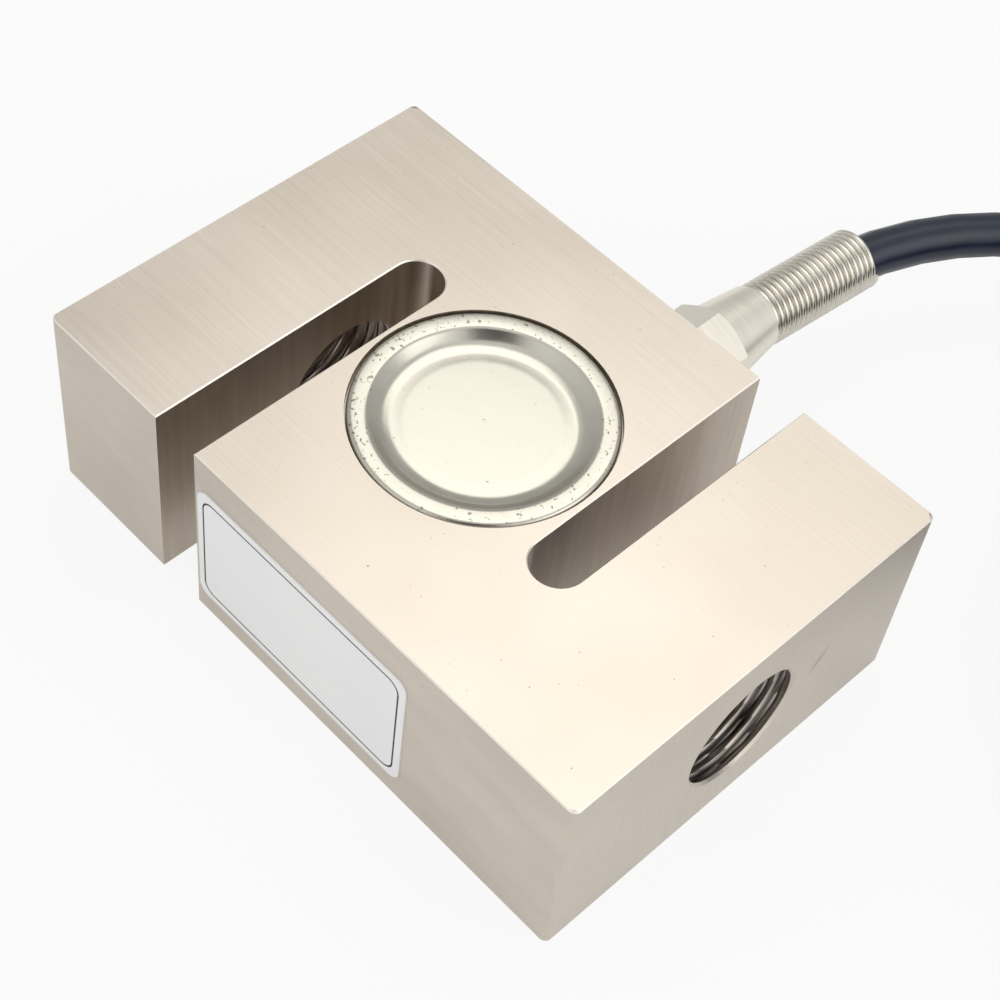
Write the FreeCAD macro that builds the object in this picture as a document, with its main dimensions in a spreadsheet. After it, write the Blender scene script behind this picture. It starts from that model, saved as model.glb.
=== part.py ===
"""S type load cell: a slotted steel block with two closed gauge pockets, a cable gland
with a spring bend relief, and a coiled screened cable with bare leads.

Frame, in millimetres: X is the load axis, with a threaded bore in each end; Y points out
of the cable's side; Z is up through the block's thickness. The origin is the middle of
the block's underside.
"""
import FreeCAD
import Part
import math
import os
import Sketcher
from FreeCAD import Placement, Rotation, Vector

doc = FreeCAD.newDocument("s_type_load_cell")

# ---------------------------------------------------------------- driving dimensions
DIMENSIONS = [
    # the block and its two slots
    ("block_length", 76.2), ("block_width", 50.8), ("block_height", 25.4),
    ("corner_round", 0.8), ("edge_break", 0.4),
    ("slot_width", 6.0), ("slot_offset", 17.75), ("slot_reach", 10.1),
    # M16 x 1.5 bore: the radius over the crests of the thread, and its lead-in
    ("bore_radius", 7.25), ("bore_lead", 0.3), ("bore_depth", 17.35),
    # the gauge pockets, the web between them and the seats of the covers
    ("web_thickness", 3.6), ("pocket_radius", 11.9), ("seat_radius", 14.15), ("seat_depth", 1.0),
    # the pressed covers
    ("cover_radius", 14.0), ("cover_sheet", 0.8), ("flange_inner", 11.85),
    ("floor_radius", 9.4), ("floor_drop", 1.3), ("bend_shift", 0.2),
    # the cable port and the gland on the side
    ("port_offset", 2.4), ("port_radius", 3.5), ("port_thread", 4.0), ("port_thread_depth", 8.0),
    ("gland_flats", 10.0), ("gland_stub", 7.0), ("gland_bore", 2.9), ("washer_height", 0.8),
    ("gland_hex_end", 3.8), ("spigot_radius", 3.9), ("cap_start", 4.0), ("cap_hex_end", 9.4),
    ("cap_end", 16.2), ("cap_cone_radius", 4.8), ("cap_neck_radius", 3.9), ("chamfer_radius", 4.85),
    ("seal_end", 8.0), ("thread_gap", 0.05),
    # the spring over the cable
    ("spring_radius", 3.87), ("spring_wire", 0.8), ("spring_turns", 20), ("spring_lean", 4.9),
    ("spring_inner", 3.1), ("spring_shift", 0.15),
    # the cable
    ("cable_radius", 2.7), ("coil_radius", 30.0), ("coil_width", 24.3), ("coil_height", 19.4),
    ("hank_slope", 3.105), ("lane_radius", 38.1), ("tail_radius", 31.0),
    ("stub_length", 23.0), ("stub_end", 10.6), ("tie_width", 8.0), ("tie_sheet", 1.0),
    ("core_radius", 0.65), ("strand_radius", 0.4), ("strand_length", 4.0), ("core_length", 15.0),
    ("core_gap", 0.1), ("core_start", 0.45),
    ("sleeve_radius", 3.3), ("sleeve_length", 12.0),
    # inside the pockets
    ("gauge_length", 6.5), ("gauge_width", 4.5), ("gauge_sheet", 0.12), ("gauge_spread", 4.2),
    ("gauge_shift", -1.5), ("board_length", 12.0), ("board_width", 4.4), ("board_sheet", 0.8),
    ("board_middle", 7.2), ("resistor_radius", 0.8), ("resistor_length", 3.4),
    ("coating_length", 17.6), ("coating_width", 9.0),
    ("coating_height", 1.0),
    # the blank rating plate on the long side
    ("label_length", 31.0), ("label_height", 17.5), ("label_sheet", 0.2), ("label_round", 1.5),
    ("label_middle", 1.25), ("label_centre", 11.9),
]
sheet = doc.addObject("Spreadsheet::Sheet", "dims")
for row, (alias, value) in enumerate(DIMENSIONS, start=1):
    sheet.set(f"A{row}", alias)
    sheet.set(f"B{row}", str(value))
    sheet.setAlias(f"B{row}", alias)
doc.recompute()

PARTS = []          # (object, Label) of every sub-part that is written


def size(expression):
    """The number that an expression over the sheet's aliases gives now."""
    result = sheet.evalExpression(expression)
    return float(getattr(result, "Value", result))


def in_sheet(expression):
    """The same expression as another object has to write it, with the sheet's name."""
    words = expression.replace("(", " ( ").replace(")", " ) ").split()
    names = {alias for alias, _ in DIMENSIONS}
    return " ".join("dims." + word if word in names else word for word in words)


def sub_part(thing, label):
    """Give a sub-part its Label and put it on the list of what is written."""
    thing.Label = label
    PARTS.append(thing)
    return thing


def place(thing, x="0", y="0", z="0"):
    """Bind a placement's base to the sheet."""
    for axis, expression in (("x", x), ("y", y), ("z", z)):
        thing.setExpression(f".Placement.Base.{axis}", in_sheet(f"0 + ( {expression} )"))


# ---------------------------------------------------------------- PartDesign helpers
def new_body(name):
    return doc.addObject("PartDesign::Body", name)


def plane_of(body, role):
    return next(f for f in body.Origin.OriginFeatures if f.Role == role)


def new_sketch(body, name, role, lift=None):
    """A sketch on one of the body's own origin planes, lifted off it along its normal."""
    sketch = body.newObject("Sketcher::SketchObject", name)
    sketch.AttachmentSupport = [(plane_of(body, role), "")]
    sketch.MapMode = "FlatFace"
    if lift:
        sketch.setExpression(".AttachmentOffset.Base.z", in_sheet(lift))
    return sketch


def bind(sketch, constraint, expression):
    """Add a driving constraint and bind its value to the sheet."""
    index = sketch.addConstraint(constraint)
    name = f"size_{index}"
    sketch.renameConstraint(index, name)
    sketch.setExpression(f"Constraints.{name}", in_sheet(expression))


def pin(sketch, edge, corner, x, y):
    """Hold one point of the sketch at coordinates that the sheet gives."""
    for kind, expression in (("DistanceX", x), ("DistanceY", y)):
        value = size(expression)
        if abs(value) < 1e-9:
            axis = -2 if kind == "DistanceX" else -1
            sketch.addConstraint(Sketcher.Constraint("PointOnObject", edge, corner, axis))
        else:
            bind(sketch, Sketcher.Constraint(kind, edge, corner, value), expression)


def outline(sketch, corners):
    """A closed outline of straight edges through corners given as pairs of expressions."""
    points = [Vector(size(x), size(y), 0) for x, y in corners]
    for index, point in enumerate(points):
        following = points[(index + 1) % len(points)]
        sketch.addGeometry(Part.LineSegment(point, following), False)
    for index in range(len(points)):
        following = (index + 1) % len(points)
        sketch.addConstraint(Sketcher.Constraint("Coincident", index, 2, following, 1))
    for index, (x, y) in enumerate(corners):
        pin(sketch, index, 1, x, y)


def rectangle(sketch, length, width, x="0", y="0"):
    """A rectangle about a middle point."""
    west, east = f"( {x} ) - ( {length} ) / 2", f"( {x} ) + ( {length} ) / 2"
    south, north = f"( {y} ) - ( {width} ) / 2", f"( {y} ) + ( {width} ) / 2"
    outline(sketch, [(west, south), (east, south), (east, north), (west, north)])


def circle(sketch, radius, x="0", y="0"):
    """A circle about a middle point."""
    middle = Vector(size(x), size(y), 0)
    index = sketch.addGeometry(Part.Circle(middle, Vector(0, 0, 1), size(radius)), False)
    bind(sketch, Sketcher.Constraint("Radius", index, size(radius)), radius)
    pin(sketch, index, 3, x, y)


def pad(body, sketch, length):
    feature = body.newObject("PartDesign::Pad", sketch.Name + "_pad")
    feature.Profile = sketch
    feature.setExpression("Length", in_sheet(length))
    doc.recompute()
    return feature


def pocket(body, sketch, depth=None, backwards=False):
    """A pocket of one depth, or through everything; it must take material away."""
    before = body.Shape.Volume
    feature = body.newObject("PartDesign::Pocket", sketch.Name + "_pocket")
    feature.Profile = sketch
    feature.Reversed = backwards
    if depth:
        feature.setExpression("Length", in_sheet(depth))
    else:
        feature.Type = "ThroughAll"
    doc.recompute()
    if body.Shape.Volume > before - 0.01:
        raise RuntimeError(sketch.Name + " cuts nothing")
    return feature


def turned(label, corners):
    """A body turned about its own Z from a half section of (radius, height) corners."""
    body = new_body(label)
    sketch = new_sketch(body, label + "_section", "XZ_Plane")
    outline(sketch, corners)
    doc.recompute()
    feature = body.newObject("PartDesign::Revolution", label + "_turn")
    feature.Profile = sketch
    feature.ReferenceAxis = (sketch, ["V_Axis"])
    feature.Angle = 360
    doc.recompute()
    return body


def dress(body, kind, edges, amount):
    """A fillet or chamfer on the named edges of the body's tip."""
    tip = body.Tip
    feature = body.newObject("PartDesign::" + kind, f"{body.Name}_{kind}_{len(body.Group)}")
    feature.Base = (tip, edges)
    feature.setExpression("Radius" if kind == "Fillet" else "Size", in_sheet(amount))
    doc.recompute()
    return feature


def edges_where(body, test):
    """The names of the edges whose two ends and middle all pass a test."""
    names = []
    for number, edge in enumerate(body.Shape.Edges, start=1):
        middle = edge.valueAt((edge.FirstParameter + edge.LastParameter) / 2)
        points = [vertex.Point for vertex in edge.Vertexes] + [middle]
        if all(test(point) for point in points):
            names.append(f"Edge{number}")
    return names


# ---------------------------------------------------------------- the spring element
def make_spring_element():
    """The slotted block: two slots from opposite sides leave an S, two pockets leave a
    thin web in its middle, and a bore in each end carries the pull."""
    body = new_body("spring_element")
    blank = new_sketch(body, "block_outline", "XY_Plane")
    rectangle(blank, "block_length", "block_width")
    pad(body, blank, "block_height")
    upright = edges_where(body, lambda p: abs(abs(p.x) - size("block_length / 2")) < 0.01
                          and abs(abs(p.y) - size("block_width / 2")) < 0.01)
    dress(body, "Fillet", upright, "corner_round")

    slot = new_sketch(body, "slot_outline", "XY_Plane")
    west, east = "slot_offset - slot_width / 2", "slot_offset + slot_width / 2"
    bottom, mouth = "slot_width / 2 - slot_reach", "block_width / 2 + 5"
    corners = [Vector(size(x), size(y), 0)
               for x, y in ((west, bottom), (west, mouth), (east, mouth), (east, bottom))]
    for start, stop in zip(corners, corners[1:]):
        slot.addGeometry(Part.LineSegment(start, stop), False)
    ring = Part.Circle(Vector(size("slot_offset"), size(bottom), 0), Vector(0, 0, 1),
                       size("slot_width / 2"))
    slot.addGeometry(Part.ArcOfCircle(ring, math.pi, 2 * math.pi), False)
    for first, end, second, start in ((0, 2, 1, 1), (1, 2, 2, 1), (3, 1, 0, 1), (3, 2, 2, 2)):
        slot.addConstraint(Sketcher.Constraint("Coincident", first, end, second, start))
    pin(slot, 0, 1, west, bottom)
    pin(slot, 0, 2, west, mouth)
    pin(slot, 2, 1, east, mouth)
    pin(slot, 2, 2, east, bottom)
    bind(slot, Sketcher.Constraint("DistanceY", 3, 3, size(bottom)), bottom)
    first_slot = pocket(body, slot, backwards=True)
    both = body.newObject("PartDesign::PolarPattern", "slot_pair")
    both.Originals = [first_slot]
    both.Axis = (slot, ["N_Axis"])
    both.Angle = 360
    both.Occurrences = 2
    body.Tip = both
    doc.recompute()

    rims = edges_where(body, lambda p: abs(p.z) < 0.001)
    rims += edges_where(body, lambda p: abs(p.z - size("block_height")) < 0.001)
    dress(body, "Chamfer", rims, "edge_break")

    for side, lift in (("lower", "0"), ("upper", "block_height")):
        seat = new_sketch(body, side + "_seat", "XY_Plane", lift)
        circle(seat, "seat_radius")
        pocket(body, seat, "seat_depth", backwards=side == "lower")
        well = new_sketch(body, side + "_well", "XY_Plane", lift)
        circle(well, "pocket_radius")
        pocket(body, well, "( block_height - web_thickness ) / 2", backwards=side == "lower")

    for end, lift in (("far", "0 - block_length / 2"), ("near", "block_length / 2")):
        bore = new_sketch(body, end + "_bore", "YZ_Plane", lift)
        circle(bore, "bore_radius", y="block_height / 2")
        pocket(body, bore, "bore_depth + 1", backwards=end == "far")
    lip = edges_where(body, lambda p: abs(abs(p.x) - size("block_length / 2")) < 0.001
                      and abs(math.hypot(p.y, p.z - size("block_height / 2"))
                              - size("bore_radius")) < 0.001)
    dress(body, "Chamfer", lip, "bore_lead")

    port = new_sketch(body, "port", "XZ_Plane", "0 - block_width / 2")
    circle(port, "port_radius", "port_offset", "block_height / 2")
    pocket(body, port, "block_width / 2 - pocket_radius + 3", backwards=True)
    thread = new_sketch(body, "port_thread_bore", "XZ_Plane", "0 - block_width / 2")
    circle(thread, "port_thread", "port_offset", "block_height / 2")
    pocket(body, thread, "port_thread_depth", backwards=True)
    return sub_part(body, "spring_element")


make_spring_element()


# ---------------------------------------------------------------- the covers
def make_cover(label):
    """A cup pressed from sheet: a flat flange, a rounded slope and a sunk floor."""
    top, web = "floor_drop + cover_sheet", "floor_drop"
    body = turned(label, [
        ("cover_radius", web), ("cover_radius", top), ("flange_inner", top),
        ("floor_radius", "cover_sheet"), ("0", "cover_sheet"), ("0", "0"),
        ("floor_radius + bend_shift", "0"), ("flange_inner + bend_shift", web)])
    return sub_part(body, label)


OVER = Rotation(Vector(1, 0, 0), 180)       # turns an upper piece to the underside
upper_cover = make_cover("top_cover")
place(upper_cover, z="block_height - floor_drop - cover_sheet")
lower_cover = make_cover("bottom_cover")
lower_cover.Placement = Placement(Vector(), OVER)
place(lower_cover, z="floor_drop + cover_sheet")


# ---------------------------------------------------------------- inside the pockets
def box(name, length, width, height, middle, angle=0):
    """A Part box about the middle of its underside, turned about Z."""
    thing = doc.addObject("Part::Box", name)
    for prop, expression in (("Length", length), ("Width", width), ("Height", height)):
        thing.setExpression(prop, in_sheet(expression))
    turn = Placement(middle, Rotation(Vector(0, 0, 1), angle))
    thing.Placement = turn * Placement(Vector(-size(length) / 2, -size(width) / 2, 0), Rotation())
    return thing


def rod(name, radius, length, start, direction):
    """A Part cylinder from a point along a direction."""
    thing = doc.addObject("Part::Cylinder", name)
    thing.setExpression("Radius", in_sheet(radius))
    thing.setExpression("Height", in_sheet(length))
    thing.Placement = Placement(start, Rotation(Vector(0, 0, 1), direction))
    return thing


def cut(label, base, tools):
    """What is left of a base once the tools are taken out of it."""
    tool = tools[0]
    if len(tools) > 1:
        tool = doc.addObject("Part::MultiFuse", label + "_tools")
        tool.Shapes = tools
    thing = doc.addObject("Part::Cut", label + "_cut")
    thing.Base, thing.Tool = base, tool
    doc.recompute()
    return sub_part(thing, label)


WEB_TOP = size("block_height / 2 + web_thickness / 2")
WEB_BOTTOM = size("block_height / 2 - web_thickness / 2")
BOARD_TOP = WEB_TOP + size("board_sheet")


def make_gauges(face, z):
    """Two foil gauges on one face of the web, at 45 degrees each way to the load."""
    pair = []
    for letter, side in (("a", -1), ("b", 1)):
        middle = Vector(side * size("gauge_spread"), size("gauge_shift"), z)
        gauge = box(f"{face}_gauge_{letter}", "gauge_length", "gauge_width", "gauge_sheet",
                    middle, side * 45)
        pair.append(sub_part(gauge, f"{face}_strain_gauge_{letter}"))
    return pair


upper_gauges = make_gauges("top", WEB_TOP)
lower_gauges = make_gauges("bottom", WEB_BOTTOM - size("gauge_sheet"))
for face, z, pair in (("top", WEB_TOP, upper_gauges),
                      ("bottom", WEB_BOTTOM - size("coating_height"), lower_gauges)):
    coat = box(face + "_coat", "coating_length", "coating_width", "coating_height",
               Vector(0, size("gauge_shift"), z))
    cut(face + "_gauge_coating", coat, pair)

sub_part(box("board", "board_length", "board_width", "board_sheet",
             Vector(0, size("board_middle"), WEB_TOP)), "terminal_board")
for label, shift in (("zero_resistor", -1), ("span_resistor", 1)):
    start = Vector(-size("board_length * 0.45"), size("board_middle") + shift, BOARD_TOP + size("resistor_radius"))
    sub_part(rod(label + "_rod", "resistor_radius", "resistor_length", start, Vector(1, 0, 0)), label)


# ---------------------------------------------------------------- the gland on the side
OUTWARD = Rotation(Vector(1, 0, 0), -90)    # turns a piece's own Z to the cable's side


def on_port(thing):
    """Stand a piece on the block's side, on the port's axis."""
    thing.Placement = Placement(Vector(), OUTWARD)
    place(thing, "port_offset", "block_width / 2", "block_height / 2")
    return thing


def hexagon(sketch, flats):
    """A hexagon about the origin, with a corner on the sketch's own Y axis."""
    corner, half = f"{flats} / 3 ^ 0.5", f"{flats} / 2"
    outline(sketch, [("0", corner), (half, f"{corner} / 2"), (half, f"0 - {corner} / 2"),
                     ("0", f"0 - {corner}"), (f"0 - {half}", f"0 - {corner} / 2"),
                     (f"0 - {half}", f"{corner} / 2")])


def turn_in(body, name, corners, kind="Revolution"):
    """Add (Revolution) or take away (Groove) a turned section of (radius, height) corners."""
    sketch = new_sketch(body, name, "XZ_Plane")
    outline(sketch, corners)
    doc.recompute()
    before = body.Shape.Volume
    feature = body.newObject("PartDesign::" + kind, name + "_turn")
    feature.Profile = sketch
    feature.ReferenceAxis = (sketch, ["V_Axis"])
    feature.Angle = 360
    doc.recompute()
    if (body.Shape.Volume - before) * (1 if kind == "Revolution" else -1) < 0.001:
        raise RuntimeError(name + " changes nothing")


def make_gland_body():
    """The screwed-in half of the gland: stub, hexagon and the spigot that takes the cap."""
    body = new_body("gland_body")
    hexed = new_sketch(body, "gland_hexagon", "XY_Plane", "washer_height")
    hexagon(hexed, "gland_flats")
    pad(body, hexed, "gland_hex_end - washer_height")
    turn_in(body, "gland_stub_section", [
        ("0", "0 - gland_stub"), ("port_thread", "0 - gland_stub"),
        ("port_thread", "washer_height + 0.5"), ("spigot_radius", "washer_height + 0.5"),
        ("spigot_radius", "seal_end"), ("0", "seal_end")])
    turn_in(body, "gland_bore_section", [
        ("0", "0 - gland_stub"), ("gland_bore", "0 - gland_stub"), ("gland_bore", "seal_end"),
        ("0", "seal_end")], "Groove")
    return on_port(sub_part(body, "gland_body"))


def make_gland_cap():
    """The cap nut: a hexagon with a turned chamfer, then a cone down to the spring's size."""
    body = new_body("gland_cap")
    hexed = new_sketch(body, "cap_hexagon", "XY_Plane", "cap_start")
    hexagon(hexed, "gland_flats")
    pad(body, hexed, "cap_hex_end - cap_start")
    reach, slope = "gland_flats", "( gland_flats - chamfer_radius ) * 0.577"
    turn_in(body, "cap_front_chamfer", [
        ("chamfer_radius", "cap_hex_end"), (reach, "cap_hex_end"),
        (reach, f"cap_hex_end - {slope}")], "Groove")
    turn_in(body, "cap_cone_section", [
        ("0", "cap_hex_end"), ("cap_cone_radius", "cap_hex_end"), ("cap_neck_radius", "cap_end"),
        ("0", "cap_end")])
    turn_in(body, "cap_bore_section", [
        ("0", "cap_start"), ("spigot_radius + thread_gap", "cap_start"),
        ("spigot_radius + thread_gap", "seal_end"), ("gland_bore", "seal_end"),
        ("gland_bore", "cap_end"), ("0", "cap_end")], "Groove")
    return on_port(sub_part(body, "gland_cap"))


make_gland_body()
make_gland_cap()
on_port(sub_part(turned("gland_washer", [
    ("port_thread", "0"), ("gland_flats / 2", "0"), ("gland_flats / 2", "washer_height"),
    ("port_thread", "washer_height")]), "gland_washer"))


# ---------------------------------------------------------------- shapes made along a path
def route(points, radii):
    """A smooth path: straight runs joined by tangent arcs, each as large as its runs allow."""
    edges, start = [], points[0]
    for before, corner, after in zip(points, points[1:], points[2:]):
        into, out = corner - before, after - corner
        setback = 0.45 * min(into.Length, out.Length)
        into.normalize()
        out.normalize()
        half_turn = into.getAngle(out) / 2
        radius = setback / math.tan(half_turn)
        radii.append(round(radius, 1))
        inward = out - into
        inward.normalize()
        middle = corner + inward * (radius / math.cos(half_turn) - radius)
        first, last = corner - into * setback, corner + out * setback
        edges.append(Part.LineSegment(start, first).toShape())
        edges.append(Part.Arc(first, middle, last).toShape())
        start = last
    edges.append(Part.LineSegment(start, points[-1]).toShape())
    return Part.Wire(edges)


def tube(label, points, radius):
    """A round bar along a route, compared with its section times its length."""
    radii = []
    path = route(points, radii)
    section = Part.Wire([Part.makeCircle(radius, points[0], points[1] - points[0])])
    shape = path.makePipeShell([section], True, False)
    expected = math.pi * radius ** 2 * path.Length
    if not shape.isValid() or abs(shape.Volume / expected - 1) > 0.02:
        raise RuntimeError(label + " has the wrong volume")
    print(label, "length", round(path.Length, 1), "radii", radii)
    return shape


def by_code(label, shape):
    """A sub-part whose form no workbench feature describes."""
    thing = doc.addObject("Part::Feature", label)
    thing.Shape = shape
    return sub_part(thing, label)


def make_spring():
    """The close-wound spring over the cable, as the sleeve that its turns fill."""
    sleeve = turned("spring_sleeve", [
        ("spring_inner", "0 - spring_wire"), ("spring_radius", "0 - spring_wire"),
        ("spring_radius", "spring_wire * spring_turns"),
        ("spring_inner", "spring_wire * spring_turns")])
    neck = Vector(size("port_offset + spring_shift"), size("block_width / 2 + cap_end"), MIDDLE)
    lean = Rotation(Vector(0, 0, 1), -size("spring_lean"))
    sleeve.Placement = Placement(neck, lean * OUTWARD)
    behind = doc.addObject("Part::Box", "behind_the_neck")
    behind.Length, behind.Width, behind.Height = 20, 10, 20
    behind.Placement = Placement(neck - Vector(10, 10, 10), Rotation())
    return cut("strain_relief_spring", sleeve, [behind])


MIDDLE = size("block_height / 2")
make_spring()

# The cable's route from inside the gland to its hank: points chosen by hand, where two
# neighbouring straight runs would meet.
CABLE_ROUTE = [
    Vector(2.4, 23.0, 12.7), Vector(2.4, 40.5, 12.7), Vector(3.66, 58.46, 12.7),
    Vector(10.02, 72.72, 12.5), Vector(19.98, 83.05, 11.4), Vector(31.0, 90.0, 8.2),
    Vector(40.1, 93.9, 4.9), Vector(49.1, 96.4, 2.7), Vector(58.0, 97.6, 2.7)]
by_code("cable", tube("cable", CABLE_ROUTE, size("cable_radius")))

lead_in = (CABLE_ROUTE[-1] - CABLE_ROUTE[-2]).normalize()
HANK_CENTRE = (CABLE_ROUTE[-1] + lead_in * size("stub_length")
               + Vector(lead_in.y, -lead_in.x, 0) * size("lane_radius"))
HANK_CENTRE.z = 0
print("hank centre", HANK_CENTRE)


# The end of the cable rises out of the hank's top lane, turns in and lies on the hank, with
# its sleeve and its bare leads.
TAIL_ROUTE = [
    HANK_CENTRE + Vector((size("tail_radius") - inward) * math.cos(math.radians(turn)),
                         (size("tail_radius") - inward) * math.sin(math.radians(turn)), height)
    for turn, inward, height in ((105, 0, 16.5), (75, 0.3, 19.8), (45, 2, 22.7), (15, 5, 22.7))]
tail = by_code("cable_tail", tube("cable_tail", TAIL_ROUTE, size("cable_radius")))
ahead = (TAIL_ROUTE[-1] - TAIL_ROUTE[-2]).normalize()
aside = Vector(-ahead.y, ahead.x, 0)
MOUTH = TAIL_ROUTE[-1] + ahead * size("sleeve_length")


def make_hank():
    """The outer form of the put-away cable: a round hank with its outer edges broken, the lane
    that leads into it, and a waist where the tie holds it."""
    low, high = "coil_radius - coil_width / 2", "coil_radius + coil_width / 2"
    slope = "hank_slope"
    ring = turned("hank_ring", [
        (low, "0"), (f"{high} - {slope}", "0"), (high, slope), (high, f"coil_height - {slope}"),
        (f"{high} - {slope}", "coil_height"), (low, "coil_height")])
    ring.Placement = Placement(HANK_CENTRE, Rotation())
    hank = doc.addObject("Part::MultiFuse", "hank")
    hank.Shapes = [ring, rod("hank_lead_in", "cable_radius", "stub_length - stub_end",
                             CABLE_ROUTE[-1], lead_in)]

    spot = HANK_CENTRE - Vector(0, size("coil_radius"), 0)
    strap = box("strap", "tie_width", "coil_width + tie_sheet", "coil_height", spot)
    hollow = box("strap_hollow", "tie_width + 2", "coil_width - tie_sheet",
                 "coil_height - 2 * tie_sheet", spot + Vector(0, 0, size("tie_sheet")))
    tie = cut("cable_tie", strap, [hollow])
    cut("cable_coil", hank, [tie, tail])


make_hank()

sub_part(rod("end_sleeve_rod", "sleeve_radius", "sleeve_length", TAIL_ROUTE[-1], ahead), "end_sleeve")
CORES = [("core_red", 1.5, 0.9, 5.0), ("core_black", 1.5, -0.9, 2.0),
         ("core_green", -1.5, 0.9, -4.5), ("core_white", -1.5, -0.9, -8.0),
         ("shield_drain", 0.0, 0.0, 0.0)]


def make_core(label, shift, lift, spread):
    """One straight core from the sleeve's mouth down onto the hank, with its bared strands."""
    radius = "strand_radius" if label == "shield_drain" else "core_radius"
    start = MOUTH + aside * shift + Vector(0, 0, lift)
    stop = MOUTH + ahead * size("core_length") + aside * (shift + spread)
    stop.z = size("coil_height") + size(radius) + size("core_gap")
    along = (stop - start).normalize()
    length = (stop - start).Length
    start += along * size("core_start")
    sub_part(rod(label + "_wire", radius, str(length), start, along), label)
    if label != "shield_drain":
        sub_part(rod(label + "_tip", "strand_radius", "strand_length", start + along * length, along),
                 label + "_strands")


for core in CORES:
    make_core(*core)


def make_label():
    """The thin metal rating plate on the long side, left blank."""
    body = new_body("rating_label")
    sketch = new_sketch(body, "plate_outline", "XZ_Plane", "block_width / 2")
    rectangle(sketch, "label_length", "label_height", "label_middle", "label_centre")
    pad(body, sketch, "label_sheet")
    middle, centre = size("label_middle"), size("label_centre")
    end, side = size("label_length / 2"), size("label_height / 2")
    corners = edges_where(body, lambda p: abs(abs(p.x - middle) - end) < 0.01
                          and abs(abs(p.z - centre) - side) < 0.01)
    dress(body, "Fillet", corners, "label_round")
    return sub_part(body, "rating_label")


make_label()

# ---------------------------------------------------------------- check and write
doc.recompute()
for thing in doc.Objects:
    if "Invalid" in thing.State or "Error" in thing.State:
        raise RuntimeError(thing.Name + " didn't compute")
os.makedirs("parts", exist_ok=True)
for thing in PARTS:
    if thing.Shape.isNull() or not thing.Shape.isValid() or thing.Shape.Volume <= 0:
        raise RuntimeError(thing.Label + " has a bad shape")
    thing.Shape.exportStep(f"parts/{thing.Label}.step")
print(len(PARTS), "sub-parts written")
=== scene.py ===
import math

import bmesh
import bpy
from mathutils import Matrix, Vector


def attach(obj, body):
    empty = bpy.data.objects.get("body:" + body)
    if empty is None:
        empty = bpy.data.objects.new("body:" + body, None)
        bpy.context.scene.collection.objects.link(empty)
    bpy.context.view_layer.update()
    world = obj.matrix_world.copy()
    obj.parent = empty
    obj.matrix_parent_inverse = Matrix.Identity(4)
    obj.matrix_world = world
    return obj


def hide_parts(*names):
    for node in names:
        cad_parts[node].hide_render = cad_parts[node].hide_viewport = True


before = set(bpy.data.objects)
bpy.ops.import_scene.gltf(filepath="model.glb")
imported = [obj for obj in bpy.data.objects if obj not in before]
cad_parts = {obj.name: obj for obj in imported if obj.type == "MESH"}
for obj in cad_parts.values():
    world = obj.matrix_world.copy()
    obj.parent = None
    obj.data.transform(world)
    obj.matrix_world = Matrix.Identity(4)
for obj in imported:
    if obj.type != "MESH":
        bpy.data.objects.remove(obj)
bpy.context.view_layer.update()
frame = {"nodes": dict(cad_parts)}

nodes = frame["nodes"]
MM = 0.001

# ------------------------------------------------------------------ camera
# The cell lies on a table and is seen from above its right front corner, from about
# a quarter of a metre away, with the camera turned a little about its own line of sight.
AZIMUTH, ELEVATION, ROLL = 42.084, 51.375, 6.248
CAMERA_PLACE, FOCAL_LENGTH = Vector((89.754, -104.693, 191.551)), 77.3352

camera = bpy.data.objects.new("camera", bpy.data.cameras.new("camera"))
bpy.context.scene.collection.objects.link(camera)
bpy.context.scene.camera = camera
camera.data.sensor_width = 36
camera.data.lens = FOCAL_LENGTH
camera.data.shift_x, camera.data.shift_y = 0.055, -0.05
camera.data.clip_start, camera.data.clip_end = 0.01, 20
aim = (Matrix.Rotation(math.radians(AZIMUTH), 4, "Z")
       @ Matrix.Rotation(math.radians(90 - ELEVATION), 4, "X")
       @ Matrix.Rotation(math.radians(ROLL), 4, "Z"))
camera.matrix_world = Matrix.Translation(CAMERA_PLACE * MM) @ aim
bpy.context.scene.view_settings.view_transform = "Standard"


# ------------------------------------------------------------------ table and light
# A plain white table in a white room that is brighter towards the right front, with two
# soft boxes above and behind the cell. To the camera and in mirrors a part of the table's light is
# its own, which keeps it white and its shadow faint.
SQUARE = ((-1, -1), (1, -1), (1, 1), (-1, 1))
TABLE_HALF, TABLE_DROP = 3000, 0.2
SEEN_GLOW, MIRRORED_GLOW = 0.88, 0.45
CARD_HALF, CARD_BEHIND = 70, 20


def linear(code):
    """The linear colour of an sRGB hex code."""
    parts = [int(code[i:i + 2], 16) / 255 for i in (0, 2, 4)]
    return [p / 12.92 if p <= 0.04045 else ((p + 0.055) / 1.055) ** 2.4 for p in parts] + [1]


def new_material(name):
    """An empty node material, with its output."""
    material = bpy.data.materials.new(name)
    material.use_nodes = True
    material.node_tree.nodes.clear()
    return material, material.node_tree, material.node_tree.nodes.new("ShaderNodeOutputMaterial")


def add(tree, kind, inputs=None, **settings):
    """Adds a node, with its settings, and its inputs as values or links."""
    made = tree.nodes.new(kind)
    for key, value in settings.items():
        setattr(made, key, value)
    for key, value in (inputs or {}).items():
        if isinstance(value, bpy.types.NodeSocket):
            tree.links.new(value, made.inputs[key])
        else:
            made.inputs[key].default_value = value
    return made


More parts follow.
